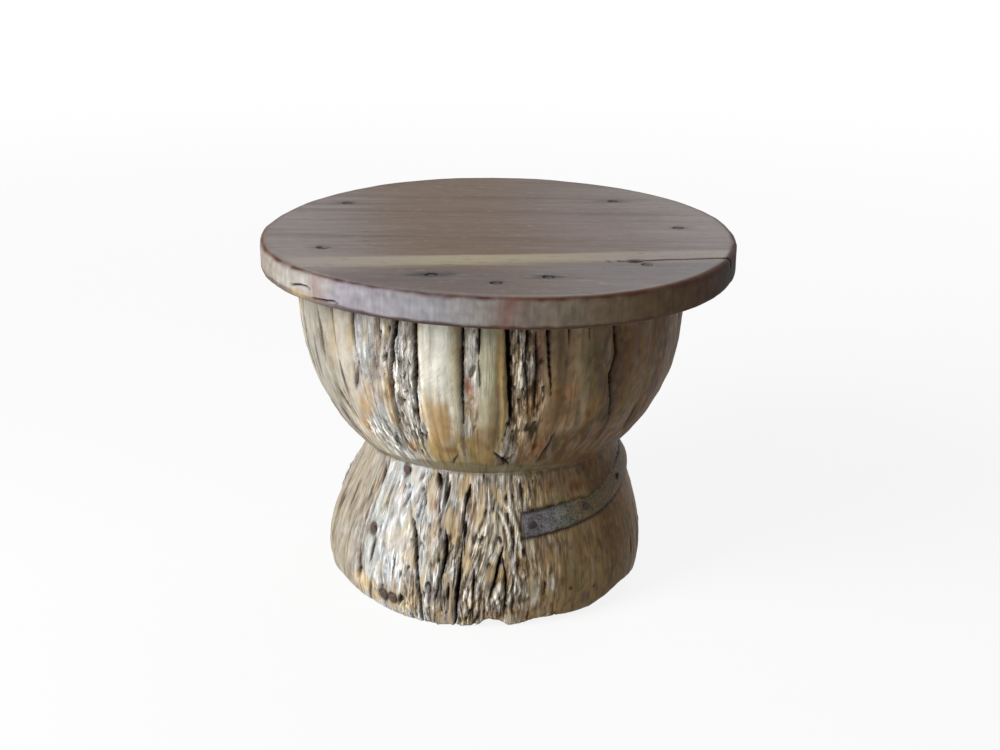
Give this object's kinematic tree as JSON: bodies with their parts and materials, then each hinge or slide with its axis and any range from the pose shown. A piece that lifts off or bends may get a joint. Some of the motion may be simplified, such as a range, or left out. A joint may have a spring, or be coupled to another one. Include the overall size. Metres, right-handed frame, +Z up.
{
  "type": "low round table made from a wooden mortar",
  "caption": "Low round table or stool: a hewn log mortar with a bowl-shaped upper half, a waist and a flared foot, under a round plank nailed over its mouth.",
  "frame": {"origin": "on the floor, under the middle of the top's box", "axes": "+Z up, -Y towards the front with the wide split in the bowl, +X to the right, where the iron strap runs round the foot"},
  "size_m": [0.585, 0.6008, 0.45],
  "materials": {
    "plank_wood": "grey-brown hardwood plank, waxed and worn smooth, with a paler band of sapwood",
    "log_wood": "bare weathered log, tan to grey, ridged along the grain and split by drying",
    "strap_iron": "dark forged iron with a dull brown and green-grey patina",
    "nail_iron": "dark rusted iron"
  },
  "bodies": {
    "root": {"mortar_body": "log_wood", "table_top": "plank_wood", "iron_strap": "strap_iron", "top_nail_1": "nail_iron", "top_nail_2": "nail_iron", "top_nail_3": "nail_iron", "top_nail_4": "nail_iron", "top_nail_5": "nail_iron", "top_nail_6": "nail_iron", "top_nail_7": "nail_iron", "top_nail_8": "nail_iron", "waist_nail": "nail_iron", "foot_nail_left": "nail_iron", "foot_nail_low_1": "nail_iron", "foot_nail_low_2": "nail_iron", "strap_nail_1": "nail_iron", "strap_nail_2": "nail_iron", "strap_nail_3": "nail_iron", "strap_nail_4": "nail_iron"}
  },
  "joints": []
}
